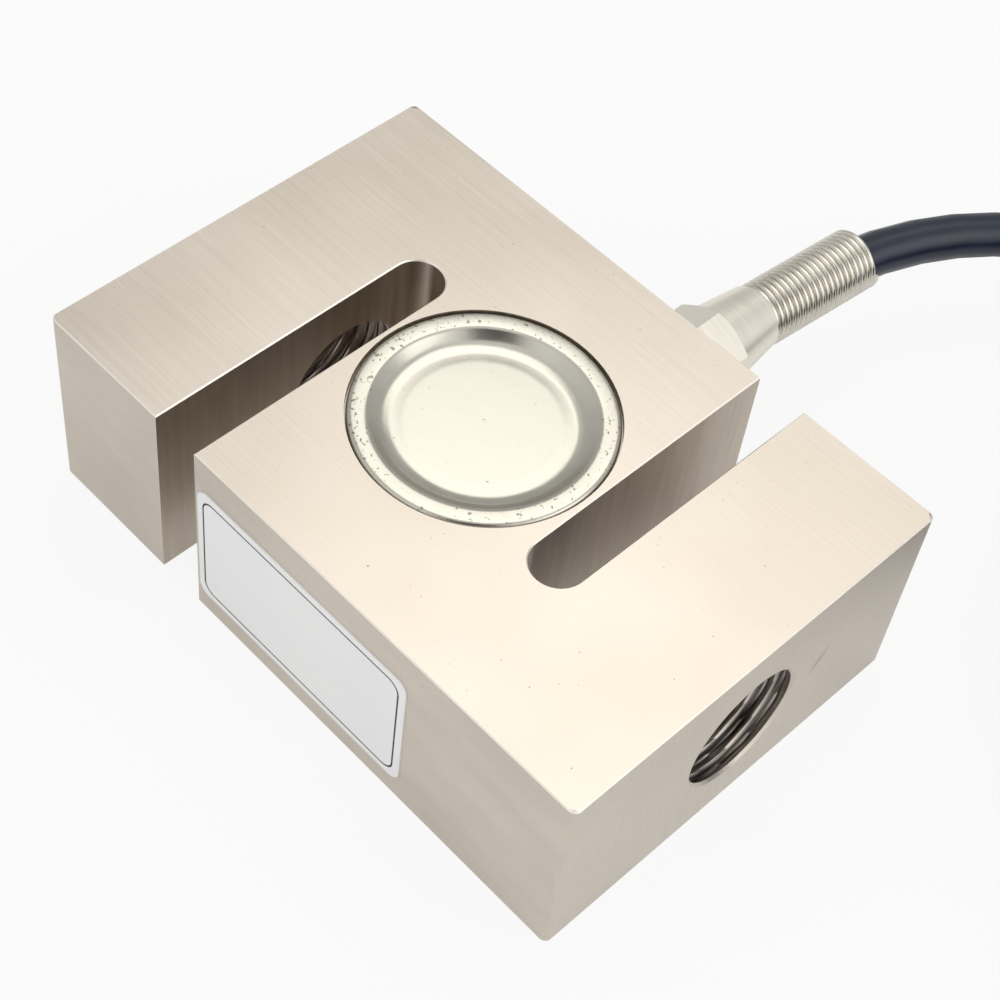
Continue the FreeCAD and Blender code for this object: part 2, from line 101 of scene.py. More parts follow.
# Smooth laminate: an even, dull white.
table_white, tree, output = new_material("table_white_laminate")
paint = add(tree, "ShaderNodeBsdfDiffuse", {"Color": linear("dcdcda")})
shown = add(tree, "ShaderNodeEmission", {"Color": linear("ffffff"), "Strength": 1.0})
path = add(tree, "ShaderNodeLightPath")
seen = add(tree, "ShaderNodeMath", {0: path.outputs["Is Camera Ray"], 1: SEEN_GLOW},
           operation="MULTIPLY")
mirrored = add(tree, "ShaderNodeMath", {0: path.outputs["Is Glossy Ray"], 1: MIRRORED_GLOW},
               operation="MULTIPLY")
share = add(tree, "ShaderNodeMath", {0: seen.outputs[0], 1: mirrored.outputs[0]},
            operation="MAXIMUM")
mix = add(tree, "ShaderNodeMixShader", {
    0: share.outputs[0], 1: paint.outputs[0], 2: shown.outputs[0]})
tree.links.new(mix.outputs[0], output.inputs["Surface"])

mesh = bpy.data.meshes.new("table")
mesh.from_pydata([Vector((x * TABLE_HALF, y * TABLE_HALF, -TABLE_DROP)) * MM
                  for x, y in SQUARE], [], [(0, 1, 2, 3)])
table = bpy.data.objects.new("table", mesh)
mesh.materials.append(table_white)
bpy.context.scene.collection.objects.link(table)

world = bpy.data.worlds.new("white_room")
bpy.context.scene.world = world
world.use_nodes = True
tree = world.node_tree
tree.nodes.clear()
towards = add(tree, "ShaderNodeTexCoord")
side = add(tree, "ShaderNodeVectorMath", {0: towards.outputs["Generated"], 1: (0.5, -0.6, 0.0)},
           operation="DOT_PRODUCT")
level = add(tree, "ShaderNodeMapRange", {
    "Value": side.outputs["Value"], "From Min": -0.65, "From Max": 0.5,
    "To Min": 0.53, "To Max": 1.08})
room = add(tree, "ShaderNodeBackground", {"Color": linear("fbfbfb"), "Strength": level.outputs[0]})
backdrop = add(tree, "ShaderNodeBackground", {"Color": linear("ffffff"), "Strength": 1.0})
path = add(tree, "ShaderNodeLightPath")
mix = add(tree, "ShaderNodeMixShader", {
    0: path.outputs["Is Camera Ray"], 1: room.outputs[0], 2: backdrop.outputs[0]})
add(tree, "ShaderNodeOutputWorld", {"Surface": mix.outputs[0]})


def soft_box(name, place, target, size, power, colour="ffffff"):
    """A square soft light that faces a point."""
    lamp = bpy.data.lights.new(name, "AREA")
    lamp.size, lamp.energy, lamp.color = size * MM, power, linear(colour)[:3]
    made = bpy.data.objects.new(name, lamp)
    bpy.context.scene.collection.objects.link(made)
    made.location = Vector(place) * MM
    aimed = Vector(target) * MM - made.location
    made.rotation_euler = aimed.to_track_quat("-Z", "Y").to_euler()


soft_box("soft_box_over", (-90, 170, 420), (10, 0, 20), 300, 0.4, "fffdf8")
soft_box("soft_box_right", (380, 160, 300), (0, 0, 10), 300, 0.3)

# A dark card round the lens, which only mirrors see, gives the bright metal its contrast.
mesh = bpy.data.meshes.new("lens_card")
mesh.from_pydata([Vector((x * CARD_HALF, y * CARD_HALF, CARD_BEHIND)) * MM
                  for x, y in SQUARE], [], [(0, 1, 2, 3)])
mesh.transform(camera.matrix_world)
card = bpy.data.objects.new("lens_card", mesh)
bpy.context.scene.collection.objects.link(card)
card.visible_camera = card.visible_diffuse = card.visible_shadow = False
card_grey, tree, output = new_material("dark_grey_card")
paint = add(tree, "ShaderNodeBsdfDiffuse", {"Color": linear("3c3c3e")})
tree.links.new(paint.outputs[0], output.inputs["Surface"])
mesh.materials.append(card_grey)

# ------------------------------------------------------------------ spring element
# The block is alloy steel, milled to an S, ground flat on both large faces and nickel
# plated. Its slots are left as milled, and each end has a tapped M16 x 1.5 hole.
LENGTH, WIDTH, THICK = 76.2, 50.8, 25.4
MIDDLE = THICK / 2
SLOT_INNER, SLOT_OUTER, FACE_MARGIN = 14.7, 20.8, 0.5
BORE, BORE_MOUTH, BORE_END = 7.25, 37.8, 20.75
PITCH, THREAD_DEPTH, CREST_RIM, ROOT_RIM = 1.5, 0.75, 0.03, 0.28
CAD_BREAK, EDGE_BREAK = 0.4, 0.14
DENT_ACROSS, DENT_HIGH, DENT_LEAN = 11.2, 13.8, -34
DENT_SIZE = Vector((0.8, 0.7, 2.4))


def merged_copy(node, name):
    """A copy of a CAD node's mesh with its triangles joined, as a new object."""
    copy = bmesh.new()
    copy.from_mesh(nodes[node].data)
    bmesh.ops.remove_doubles(copy, verts=copy.verts, dist=1e-6)
    mesh = bpy.data.meshes.new(name)
    copy.to_mesh(mesh)
    copy.free()
    if "custom_normal" in mesh.attributes:
        mesh.attributes.remove(mesh.attributes["custom_normal"])
    made = bpy.data.objects.new(name, mesh)
    bpy.context.scene.collection.objects.link(made)
    return made


def shade(piece, angle=30):
    """Smooth shading that keeps the edges sharper than an angle."""
    piece.data.shade_smooth()
    piece.data.set_sharp_from_angle(angle=math.radians(angle))


def new_piece(name, verts, faces, materials, places=None):
    """A mesh object from points in millimetres."""
    mesh = bpy.data.meshes.new(name)
    mesh.from_pydata([Vector(v) * MM for v in verts], [], faces)
    for material in materials:
        mesh.materials.append(material)
    if places:
        mesh.polygons.foreach_set("material_index", places)
    mesh.validate()
    made = bpy.data.objects.new(name, mesh)
    bpy.context.scene.collection.objects.link(made)
    return made


# Ground and nickel plated: a warm pale grey metal with straight lines 0.3 mm apart, a few
# pits, cloudy patches where the plating lies thicker, and a small knock on the right end.
steel, tree, output = new_material("nickel_plated_ground_steel")
place = add(tree, "ShaderNodeTexCoord")
lines = add(tree, "ShaderNodeMapping", {"Vector": place.outputs["Object"], "Scale": (70, 3400, 260)})
grain = add(tree, "ShaderNodeTexNoise", {"Vector": lines.outputs[0], "Scale": 1.0, "Detail": 3.0,
                                         "Roughness": 0.6})
clouds = add(tree, "ShaderNodeTexNoise", {"Vector": place.outputs["Object"], "Scale": 38.0,
                                          "Detail": 2.0, "Roughness": 0.5})
specks = add(tree, "ShaderNodeTexNoise", {"Vector": place.outputs["Object"], "Scale": 2600.0,
                                          "Detail": 1.0})
pit = add(tree, "ShaderNodeMapRange", {"Value": specks.outputs["Fac"], "From Min": 0.76,
                                       "From Max": 0.82})
tone = add(tree, "ShaderNodeMapRange", {"Value": clouds.outputs["Fac"], "From Min": 0.35,
                                        "From Max": 0.65})
base = add(tree, "ShaderNodeMix", {"Factor": tone.outputs[0], 6: linear("d5cbbe"),
                                   7: linear("ddd4c8")}, data_type="RGBA")
line_tone = add(tree, "ShaderNodeMapRange", {"Value": grain.outputs["Fac"], "From Min": 0.3,
                                             "From Max": 0.7, "To Min": 0.9, "To Max": 1.0})
lined = add(tree, "ShaderNodeMix", {"Factor": 1.0, 6: base.outputs[2], 7: line_tone.outputs[0]},
            data_type="RGBA", blend_type="MULTIPLY")
pitted = add(tree, "ShaderNodeMix", {"Factor": pit.outputs[0], 6: lined.outputs[2],
                                     7: linear("8d8274")}, data_type="RGBA")
dent_place = add(tree, "ShaderNodeMapping", {
    "Vector": place.outputs["Object"],
    "Location": (LENGTH / 2 * MM, DENT_ACROSS * MM, DENT_HIGH * MM),
    "Rotation": (math.radians(DENT_LEAN), 0, 0), "Scale": DENT_SIZE * MM},
    vector_type="TEXTURE")
dent_far = add(tree, "ShaderNodeVectorMath", {0: dent_place.outputs[0]}, operation="LENGTH")
dent = add(tree, "ShaderNodeMapRange", {"Value": dent_far.outputs["Value"], "From Min": 0.1,
                                        "From Max": 1.0, "To Min": 0.45, "To Max": 0.0})
marked = add(tree, "ShaderNodeMix", {"Factor": dent.outputs[0], 6: pitted.outputs[2],
                                     7: linear("766e62")}, data_type="RGBA")
rough = add(tree, "ShaderNodeMapRange", {"Value": grain.outputs["Fac"], "To Min": 0.3, "To Max": 0.44})
bump = add(tree, "ShaderNodeBump", {"Strength": 0.35, "Distance": 0.00002,
                                    "Height": grain.outputs["Fac"]})
shader = add(tree, "ShaderNodeBsdfPrincipled", {
    "Base Color": marked.outputs[2], "Metallic": 1.0, "Roughness": rough.outputs[0],
    "Normal": bump.outputs[0]})
tree.links.new(shader.outputs[0], output.inputs["Surface"])

# Broken edges: paler than the faces beside them, a painted highlight where the chamfers catch the
# light.
highlit_edge_steel, tree, output = new_material("nickel_plated_edge_painted_highlight")
place = add(tree, "ShaderNodeTexCoord")
edge_mottle = add(tree, "ShaderNodeTexNoise", {"Vector": place.outputs["Object"], "Scale": 300.0,
                                       "Detail": 2.0})
# Painted highlight: the edge colour is paler than the faces it joins.
tone = add(tree, "ShaderNodeMix", {"Factor": edge_mottle.outputs["Fac"], 6: linear("e6dfd2"),
                                   7: linear("fbf7ee")}, data_type="RGBA")
rough = add(tree, "ShaderNodeMapRange", {"Value": edge_mottle.outputs["Fac"], "To Min": 0.3, "To Max": 0.5})
shader = add(tree, "ShaderNodeBsdfPrincipled", {
    "Base Color": tone.outputs[2], "Metallic": 0.9, "Roughness": rough.outputs[0]})
tree.links.new(shader.outputs[0], output.inputs["Surface"])

# Milled and thinly plated: the slot walls are darker and browner, with upright cutter marks.
slot_steel, tree, output = new_material("nickel_plated_milled_steel")
place = add(tree, "ShaderNodeTexCoord")
marks = add(tree, "ShaderNodeMapping", {"Vector": place.outputs["Object"], "Scale": (1500, 900, 60)})
grain = add(tree, "ShaderNodeTexNoise", {"Vector": marks.outputs[0], "Scale": 1.0, "Detail": 3.0})
tone = add(tree, "ShaderNodeMix", {"Factor": grain.outputs["Fac"], 6: linear("b2a699"),
                                   7: linear("d4c8ba")}, data_type="RGBA")
bump = add(tree, "ShaderNodeBump", {"Strength": 0.5, "Distance": 0.00004,
                                    "Height": grain.outputs["Fac"]})
shader = add(tree, "ShaderNodeBsdfPrincipled", {
    "Base Color": tone.outputs[2], "Metallic": 1.0, "Roughness": 0.34, "Normal": bump.outputs[0]})
tree.links.new(shader.outputs[0], output.inputs["Surface"])

# Tapped steel with painted shade: darker than the faces for the deep bore, darkest in the
# roots with fine tool lines round them, so its crests seem to catch the light. The lines are coarser
# than real ones, so that they show.
thread_steel, tree, output = new_material("tapped_steel_painted_root_shade")
place = add(tree, "ShaderNodeTexCoord")
crest_mottle = add(tree, "ShaderNodeTexNoise", {"Vector": place.outputs["Object"], "Scale": 420.0,
                                         "Detail": 3.0})
# The crests' colour, darker than the block's faces: painted shade for the deep bore.
crest = add(tree, "ShaderNodeMix", {"Factor": crest_mottle.outputs["Fac"], 6: linear("a39a92"),
                                    7: linear("ded5cb")}, data_type="RGBA")
across = add(tree, "ShaderNodeMapping", {
    "Vector": place.outputs["Object"], "Location": (0, 0, -MIDDLE * MM), "Scale": (0, 1, 1)})
radius = add(tree, "ShaderNodeVectorMath", {0: across.outputs[0]}, operation="LENGTH")
# Painted shade: the deeper into a thread root, the darker the colour.
sunk = add(tree, "ShaderNodeMapRange", {
    "Value": radius.outputs["Value"], "From Min": (BORE + CREST_RIM) * MM,
    "From Max": (BORE + ROOT_RIM) * MM})
lines = add(tree, "ShaderNodeMapping", {
    "Vector": place.outputs["Object"], "Scale": (4200, 130, 130)})
chased = add(tree, "ShaderNodeTexNoise", {
    "Vector": lines.outputs[0], "Scale": 1.0, "Detail": 2.0})
streak = add(tree, "ShaderNodeMapRange", {
    "Value": chased.outputs["Fac"], "From Min": 0.4, "From Max": 0.6})
# The roots' colour: darker painted shade, streaked with the tool lines.
root = add(tree, "ShaderNodeMix", {"Factor": streak.outputs[0], 6: linear("5e5854"),
                                   7: linear("b6afa8")}, data_type="RGBA")
tone = add(tree, "ShaderNodeMix", {"Factor": sunk.outputs[0], 6: crest.outputs[2],
                                   7: root.outputs[2]}, data_type="RGBA")
shader = add(tree, "ShaderNodeBsdfPrincipled", {
    "Base Color": tone.outputs[2], "Metallic": 1.0, "Roughness": 0.32})
tree.links.new(shader.outputs[0], output.inputs["Surface"])

block = merged_copy("spring_element", "block")
for material in (steel, slot_steel, highlit_edge_steel):
    block.data.materials.append(material)
SLOT_WALL, BROKEN_EDGE = 1, 2
body = bmesh.new()
body.from_mesh(block.data)

# The solid's broken edges are drawn in to their real width: each point of such an edge
# moves out along the flat face that it lies on.
crests = {}
broken = [face for face in body.faces if 0.5 < abs(face.normal.z) < 0.9
          and abs(face.calc_center_median().z / MM - MIDDLE) > MIDDLE - CAD_BREAK]
for face in broken:
    flat = Vector((face.normal.x, face.normal.y, 0)).normalized()
    for vertex in face.verts:
        known = crests.setdefault(vertex, [])
        if all(flat.dot(other) < 0.999 for other in known):
            known.append(flat)
for vertex, known in crests.items():
    first = known[0]
    last = min(known, key=first.dot)
    outwards = (first + last) / (1 + first.dot(last))
    upwards = 1 if vertex.co.z / MM > MIDDLE else -1
    on_large_face = abs(abs(vertex.co.z / MM - MIDDLE) - MIDDLE) < 0.01
    if on_large_face:
        vertex.co += outwards * (CAD_BREAK - EDGE_BREAK) * MM
    else:
        vertex.co.z += upwards * (CAD_BREAK - EDGE_BREAK) * MM

# The slot walls get their own finish and the edges a painted highlight, and the plain bore
# walls make way for the tapped ones.
bore_walls = []
for face in body.faces:
    height = face.calc_center_median().z / MM
    on_bore = all(abs(math.hypot(v.co.y / MM, v.co.z / MM - MIDDLE) - BORE) < 0.02
                  and abs(v.co.x / MM) > BORE_END - 0.05 for v in face.verts)
    if on_bore and abs(face.normal.x) < 0.1:
        bore_walls.append(face)
    in_slot = all(SLOT_INNER < abs(v.co.x / MM) < SLOT_OUTER for v in face.verts)
    if in_slot and FACE_MARGIN < height < THICK - FACE_MARGIN and abs(face.normal.z) < 0.1:
        face.material_index = SLOT_WALL
    elif face in broken:
        face.material_index = BROKEN_EDGE
bmesh.ops.delete(body, geom=bore_walls, context="FACES")
body.to_mesh(block.data)
body.free()
shade(block)
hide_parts("spring_element")
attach(block, "root")

# The tapped walls: a V groove cut outwards from the plain bore, fading out at both ends.
AROUND, PER_PITCH = 96, 10
FADE_IN, FADE_OUT, FLANK, ROOT_FLAT = 0.3, 0.45, 0.44, 0.88
rows = int((BORE_MOUTH - BORE_END) / PITCH * PER_PITCH)
for side, name in ((1, "right_thread"), (-1, "left_thread")):
    verts, faces = [], []
    for row in range(rows + 1):
        x = BORE_END + (BORE_MOUTH - BORE_END) * row / rows
        fade = min(1, (x - BORE_END) / FADE_IN, (BORE_MOUTH - x) / FADE_OUT)
        for step in range(AROUND):
            turn = 2 * math.pi * step / AROUND
            phase = (x / PITCH + step / AROUND) % 1
            groove = max(0, 1 - abs(phase - 0.5) / FLANK)
            radius = BORE + THREAD_DEPTH * min(groove, ROOT_FLAT) * fade
            verts.append((side * x, side * radius * math.cos(turn),
                          MIDDLE + radius * math.sin(turn)))
    for row in range(rows):
        for step in range(AROUND):
            a, b = row * AROUND + step, row * AROUND + (step + 1) % AROUND
            faces.append((a, a + AROUND, b + AROUND, b))
    thread = new_piece(name, verts, faces, [thread_steel])
    shade(thread, 40)
    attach(thread, "root")


# ------------------------------------------------------------------ covers
# Each cover is a round cup pressed from thin sheet and bright nickel plated. Its flange
# is pressed flat into a seat in the block, and the sunk floor keeps clear of the gauges.
COVER_STEPS, COVER_BEND = 128, 0.6
FLANGE_STARTS, FLANGE_FLAT, COVER_RADIUS = 11.7, 12.1, 14.0


def spun(name, profile, steps, material):
    """A closed shape of revolution about Z from (radius, height) points in millimetres."""
    verts, faces, first = [], [], []
    for radius, height in profile:
        first.append(len(verts))
        count = 1 if radius == 0 else steps
        for step in range(count):
            turn = 2 * math.pi * step / steps
            verts.append((radius * math.cos(turn), radius * math.sin(turn), height))
    for number, (start, stop) in enumerate(zip(first, first[1:] + first[:1])):
        one = profile[number][0] == 0
        other = profile[(number + 1) % len(profile)][0] == 0
        if one and other:
            continue
        for step in range(steps):
            after = (step + 1) % steps
            if one:
                faces.append((start, stop + after, stop + step))
            elif other:
                faces.append((start + step, start + after, stop))
            else:
                faces.append((start + step, start + after, stop + after, stop + step))
    return new_piece(name, verts, faces, [material])


def rounded(corners, radius, steps=5):
    """An open line of points with each inner corner rounded."""
    line = [corners[0]]
    for before, corner, after in zip(corners, corners[1:], corners[2:]):
        here = Vector(corner)
        into, out = here - Vector(before), Vector(after) - here
        cut = min(radius, into.length * 0.45, out.length * 0.45)
        start, stop = here - into.normalized() * cut, here + out.normalized() * cut
        for step in range(steps + 1):
            t = step / steps
            line.append(tuple((1 - t) ** 2 * start + 2 * t * (1 - t) * here + t * t * stop))
    return line + [corners[-1]]


# Pressed and bright plated: smoother than the block, with slight ripples from the press and
# small pits on the flange, most of them at its left.
sheet_steel, tree, output = new_material("bright_nickel_plated_sheet")
place = add(tree, "ShaderNodeTexCoord")
wear = add(tree, "ShaderNodeTexNoise", {"Vector": place.outputs["Object"], "Scale": 240.0,
                                        "Detail": 4.0, "Roughness": 0.65})
specks = add(tree, "ShaderNodeTexNoise", {"Vector": place.outputs["Object"], "Scale": 2100.0,
                                          "Detail": 2.0})
across = add(tree, "ShaderNodeVectorMath", {0: place.outputs["Object"], 1: (1, 1, 0)},
             operation="MULTIPLY")
radius = add(tree, "ShaderNodeVectorMath", {0: across.outputs[0]}, operation="LENGTH")
flange = add(tree, "ShaderNodeMapRange", {
    "Value": radius.outputs["Value"], "From Min": FLANGE_STARTS * MM,
    "From Max": FLANGE_FLAT * MM, "To Min": 0.11, "To Max": 0.0})
apart = add(tree, "ShaderNodeSeparateXYZ", {0: place.outputs["Object"]})
left = add(tree, "ShaderNodeMapRange", {
    "Value": apart.outputs[0], "From Min": -COVER_RADIUS * MM, "From Max": 0.0,
    "To Min": -0.05, "To Max": 0.0})
clear = add(tree, "ShaderNodeMath", {0: flange.outputs[0], 1: left.outputs[0]}, operation="ADD")
fleck = add(tree, "ShaderNodeMath", {0: specks.outputs["Fac"], 1: clear.outputs[0]},
            operation="SUBTRACT")
pit = add(tree, "ShaderNodeMapRange", {
    "Value": fleck.outputs[0], "From Min": 0.64, "From Max": 0.7})
tone = add(tree, "ShaderNodeMix", {"Factor": wear.outputs["Fac"], 6: linear("bdb9ae"),
                                   7: linear("d3d0c4")}, data_type="RGBA")
pitted = add(tree, "ShaderNodeMix", {"Factor": pit.outputs[0], 6: tone.outputs[2],
                                     7: linear("837f75")}, data_type="RGBA")
rough = add(tree, "ShaderNodeMapRange", {
    "Value": wear.outputs["Fac"], "To Min": 0.18, "To Max": 0.32})
bump = add(tree, "ShaderNodeBump", {"Strength": 0.25, "Distance": 0.00005,
                                    "Height": wear.outputs["Fac"]})
shader = add(tree, "ShaderNodeBsdfPrincipled", {
    "Base Color": pitted.outputs[2], "Metallic": 1.0, "Roughness": rough.outputs[0],
    "Normal": bump.outputs[0]})
tree.links.new(shader.outputs[0], output.inputs["Surface"])

outside = [(0, -1.3), (4.0, -1.3), (8.1, -1.3), (8.8, -1.34), (9.5, -1.36), (10.5, -1.12),
           (11.3, -0.52), (11.9, -0.02), (12.9, 0.0), (13.6, -0.03), (13.95, -0.3),
           (COVER_RADIUS, -0.8)]
inside = [(12.05, -0.8), (10.5, -2.0), (9.6, -2.1), (0, -2.1)]
cup = rounded(outside + inside, COVER_BEND)
for node, name in (("top_cover", "upper_cover"), ("bottom_cover", "lower_cover")):
    cover = spun(name, cup, COVER_STEPS, sheet_steel)
    for vertex in cover.data.vertices:
        if node == "top_cover":
            vertex.co.z += THICK * MM
        else:
            vertex.co.z *= -1
    edit = bmesh.new()
    edit.from_mesh(cover.data)
    bmesh.ops.recalc_face_normals(edit, faces=edit.faces)
    edit.to_mesh(cover.data)
    edit.free()
    shade(cover, 35)
    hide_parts(node)
    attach(cover, "root")

# ------------------------------------------------------------------ rating plate
# A silvery film with rounded corners and a thin black border, stuck on the long side. Its
# field is left bare.
LABEL_X, LABEL_Z, LABEL_WIDE, LABEL_HIGH = 1.25, 11.9, 31.0, 17.5
BACK = -WIDTH / 2
LABEL_FACE = BACK - 0.2

# Polyester film, silvered and lacquered: an even near-white with a slight gloss.
film, tree, output = new_material("silvered_polyester_film")
place = add(tree, "ShaderNodeTexCoord")
soft = add(tree, "ShaderNodeTexNoise", {"Vector": place.outputs["Object"], "Scale": 120.0,
                                        "Detail": 2.0})
tone = add(tree, "ShaderNodeMix", {"Factor": soft.outputs["Fac"], 6: linear("f0f1f2"),
                                   7: linear("f8f8f8")}, data_type="RGBA")
shader = add(tree, "ShaderNodeBsdfPrincipled", {
    "Base Color": tone.outputs[2], "Metallic": 0.05, "Roughness": 0.36, "Coat Weight": 0.3,
    "Coat Roughness": 0.2})
tree.links.new(shader.outputs[0], output.inputs["Surface"])

# Screen printed: a dull black line.
ink, tree, output = new_material("printed_black_ink")
place = add(tree, "ShaderNodeTexCoord")
soft = add(tree, "ShaderNodeTexNoise", {"Vector": place.outputs["Object"], "Scale": 1800.0})
tone = add(tree, "ShaderNodeMix", {"Factor": soft.outputs["Fac"], 6: linear("15161a"),
                                   7: linear("2c2d32")}, data_type="RGBA")
shader = add(tree, "ShaderNodeBsdfPrincipled", {"Base Color": tone.outputs[2], "Roughness": 0.5})
tree.links.new(shader.outputs[0], output.inputs["Surface"])


def round_rectangle(width, height, radius, steps=8):
    """Points around a rectangle with round corners, about its middle."""
    line = []
    for corner, (sx, sy) in enumerate(((1, 1), (-1, 1), (-1, -1), (1, -1))):
        for step in range(steps + 1):
            turn = math.pi / 2 * (corner + step / steps)
            line.append((sx * (width / 2 - radius) + radius * math.cos(turn),
                         sy * (height / 2 - radius) + radius * math.sin(turn)))
    return line


# Rings from the back edge to the field: how much smaller than the plate each one is, its
# corner radius and its depth.
rings = [(0, 1.5, BACK), (0, 1.5, LABEL_FACE + 0.04), (0.1, 1.45, LABEL_FACE),
         (1.7, 1.6, LABEL_FACE), (2.15, 1.4, LABEL_FACE)]
BORDER_STARTS, FILM, INK = 3, 0, 1
verts = [(LABEL_X + x, depth, LABEL_Z + z) for inset, radius, depth in rings
         for x, z in round_rectangle(LABEL_WIDE - inset, LABEL_HIGH - inset, radius)]
around = len(verts) // len(rings)
faces, places = [], []
for ring in range(len(rings) - 1):
    for step in range(around):
        a, b = ring * around + step, ring * around + (step + 1) % around
        faces.append((a, b, b + around, a + around))
        places.append(INK if ring == BORDER_STARTS else FILM)
faces.append(tuple(range(around * (len(rings) - 1), around * len(rings))))
faces.append(tuple(reversed(range(around))))
plate = new_piece("rating_plate", verts, faces, [film, ink], places + [FILM, FILM])
shade(plate, 20)
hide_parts("rating_label")
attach(plate, "root")

# ------------------------------------------------------------------ cable gland
# A small brass gland, turned from bar and bright nickel plated: a body screwed into the
# block, and a cap nut whose cone carries the spring.
# Turned and plated: a warm white metal, with a satin sheen from the fine tool rings.
plated_brass, tree, output = new_material("bright_nickel_plated_brass")
place = add(tree, "ShaderNodeTexCoord")
turned = add(tree, "ShaderNodeMapping", {
    "Vector": place.outputs["Object"], "Scale": (160, 3600, 160)})
tool = add(tree, "ShaderNodeTexNoise", {
    "Vector": turned.outputs[0], "Scale": 1.0, "Detail": 2.0})
tone = add(tree, "ShaderNodeMix", {"Factor": tool.outputs["Fac"], 6: linear("f0e9da"),
                                   7: linear("fdf8ec")}, data_type="RGBA")
rough = add(tree, "ShaderNodeMapRange", {
    "Value": tool.outputs["Fac"], "To Min": 0.26, "To Max": 0.4})
bump = add(tree, "ShaderNodeBump", {"Strength": 0.2, "Distance": 0.00002,
                                    "Height": tool.outputs["Fac"]})
shader = add(tree, "ShaderNodeBsdfPrincipled", {
    "Base Color": tone.outputs[2], "Metallic": 1.0, "Roughness": rough.outputs[0],
    "Normal": bump.outputs[0]})
tree.links.new(shader.outputs[0], output.inputs["Surface"])


def dress(node, material):
    """Gives a CAD node its finish."""
    nodes[node].data.materials.clear()
    nodes[node].data.materials.append(material)


for node in ("gland_body", "gland_cap"):
    dress(node, plated_brass)

# Punched from vulcanised fibre: a dull dark brown washer.
fibre, tree, output = new_material("vulcanised_fibre")
place = add(tree, "ShaderNodeTexCoord")
felt = add(tree, "ShaderNodeTexNoise", {"Vector": place.outputs["Object"], "Scale": 2400.0})
tone = add(tree, "ShaderNodeMix", {"Factor": felt.outputs["Fac"], 6: linear("3a3632"),
                                   7: linear("57514a")}, data_type="RGBA")
shader = add(tree, "ShaderNodeBsdfPrincipled", {"Base Color": tone.outputs[2], "Roughness": 0.7})
tree.links.new(shader.outputs[0], output.inputs["Surface"])
dress("gland_washer", fibre)

# ------------------------------------------------------------------ strain relief spring
# Bright drawn spring wire, 0.8 mm, close wound in twenty turns over the cable where it
# leaves the cap, leaning a little with the cable's pull.
WIRE, TURNS, SPRING_OUTER, LEAN, NECK_GAP = 0.8, 20.0, 3.87, 4.9, 0.1
NECK = Vector((2.55, 41.6, MIDDLE))

# Drawn and wound: a bright pale wire with a faint mottle.
wire_steel, tree, output = new_material("bright_drawn_spring_wire")
place = add(tree, "ShaderNodeTexCoord")
drawn = add(tree, "ShaderNodeTexNoise", {"Vector": place.outputs["Object"], "Scale": 700.0,
                                         "Detail": 3.0})
tone = add(tree, "ShaderNodeMix", {"Factor": drawn.outputs["Fac"], 6: linear("c8c2b6"),
                                   7: linear("eae5db")}, data_type="RGBA")
rough = add(tree, "ShaderNodeMapRange", {
    "Value": drawn.outputs["Fac"], "To Min": 0.16, "To Max": 0.3})
shader = add(tree, "ShaderNodeBsdfPrincipled", {
    "Base Color": tone.outputs[2], "Metallic": 1.0, "Roughness": rough.outputs[0]})
tree.links.new(shader.outputs[0], output.inputs["Surface"])

winding = bpy.data.node_groups.new("wound_wire", "GeometryNodeTree")
for label, value in (("Turns", TURNS), ("Pitch", WIRE * MM),
                     ("Coil Radius", (SPRING_OUTER - WIRE / 2) * MM),
                     ("Wire Radius", WIRE / 2 * MM)):
    socket = winding.interface.new_socket(label, in_out="INPUT", socket_type="NodeSocketFloat")
    socket.default_value = value
winding.interface.new_socket("Geometry", in_out="OUTPUT", socket_type="NodeSocketGeometry")
given = add(winding, "NodeGroupInput")
tall = add(winding, "ShaderNodeMath", {0: given.outputs["Turns"], 1: given.outputs["Pitch"]},
           operation="MULTIPLY")
spiral = add(winding, "GeometryNodeCurveSpiral", {
    "Resolution": 40, "Rotations": given.outputs["Turns"],
    "Start Radius": given.outputs["Coil Radius"],
    "End Radius": given.outputs["Coil Radius"], "Height": tall.outputs[0]})
section = add(winding, "GeometryNodeCurvePrimitiveCircle", {
    "Resolution": 12, "Radius": given.outputs["Wire Radius"]})
coil = add(winding, "GeometryNodeCurveToMesh", {
    "Curve": spiral.outputs[0], "Profile Curve": section.outputs["Curve"], "Fill Caps": True})
real = add(winding, "GeometryNodeRealizeInstances", {"Geometry": coil.outputs[0]})
finished = add(winding, "GeometryNodeSetMaterial", {
    "Geometry": real.outputs[0], "Material": wire_steel})
add(winding, "NodeGroupOutput", {0: finished.outputs[0]})


def grown(name, group, values, place):
    """The plain mesh object that a node tree grows, set in its place."""
    seed = bpy.data.objects.new(name + "_seed", bpy.data.meshes.new(name + "_seed"))
    bpy.context.scene.collection.objects.link(seed)
    modifier = seed.modifiers.new(name, "NODES")
    modifier.node_group = group
    for item in group.interface.items_tree:
        if item.item_type == "SOCKET" and item.in_out == "INPUT" and item.name in values:
            modifier[item.identifier] = values[item.name]
    bpy.context.view_layer.update()
    solved = seed.evaluated_get(bpy.context.evaluated_depsgraph_get())
    mesh = bpy.data.meshes.new_from_object(solved)
    bpy.data.objects.remove(seed)
    mesh.transform(place)
    made = bpy.data.objects.new(name, mesh)
    bpy.context.scene.collection.objects.link(made)
    return made


lying = (Matrix.Translation(NECK * MM) @ Matrix.Rotation(math.radians(-LEAN), 4, "Z")
         @ Matrix.Rotation(math.radians(-90), 4, "X")
         @ Matrix.Translation((0, 0, NECK_GAP * MM)))
spring = grown("spring_wire", winding, {"Turns": TURNS, "Pitch": WIRE * MM}, lying)
shade(spring, 60)
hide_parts("strain_relief_spring")
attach(spring, "root")

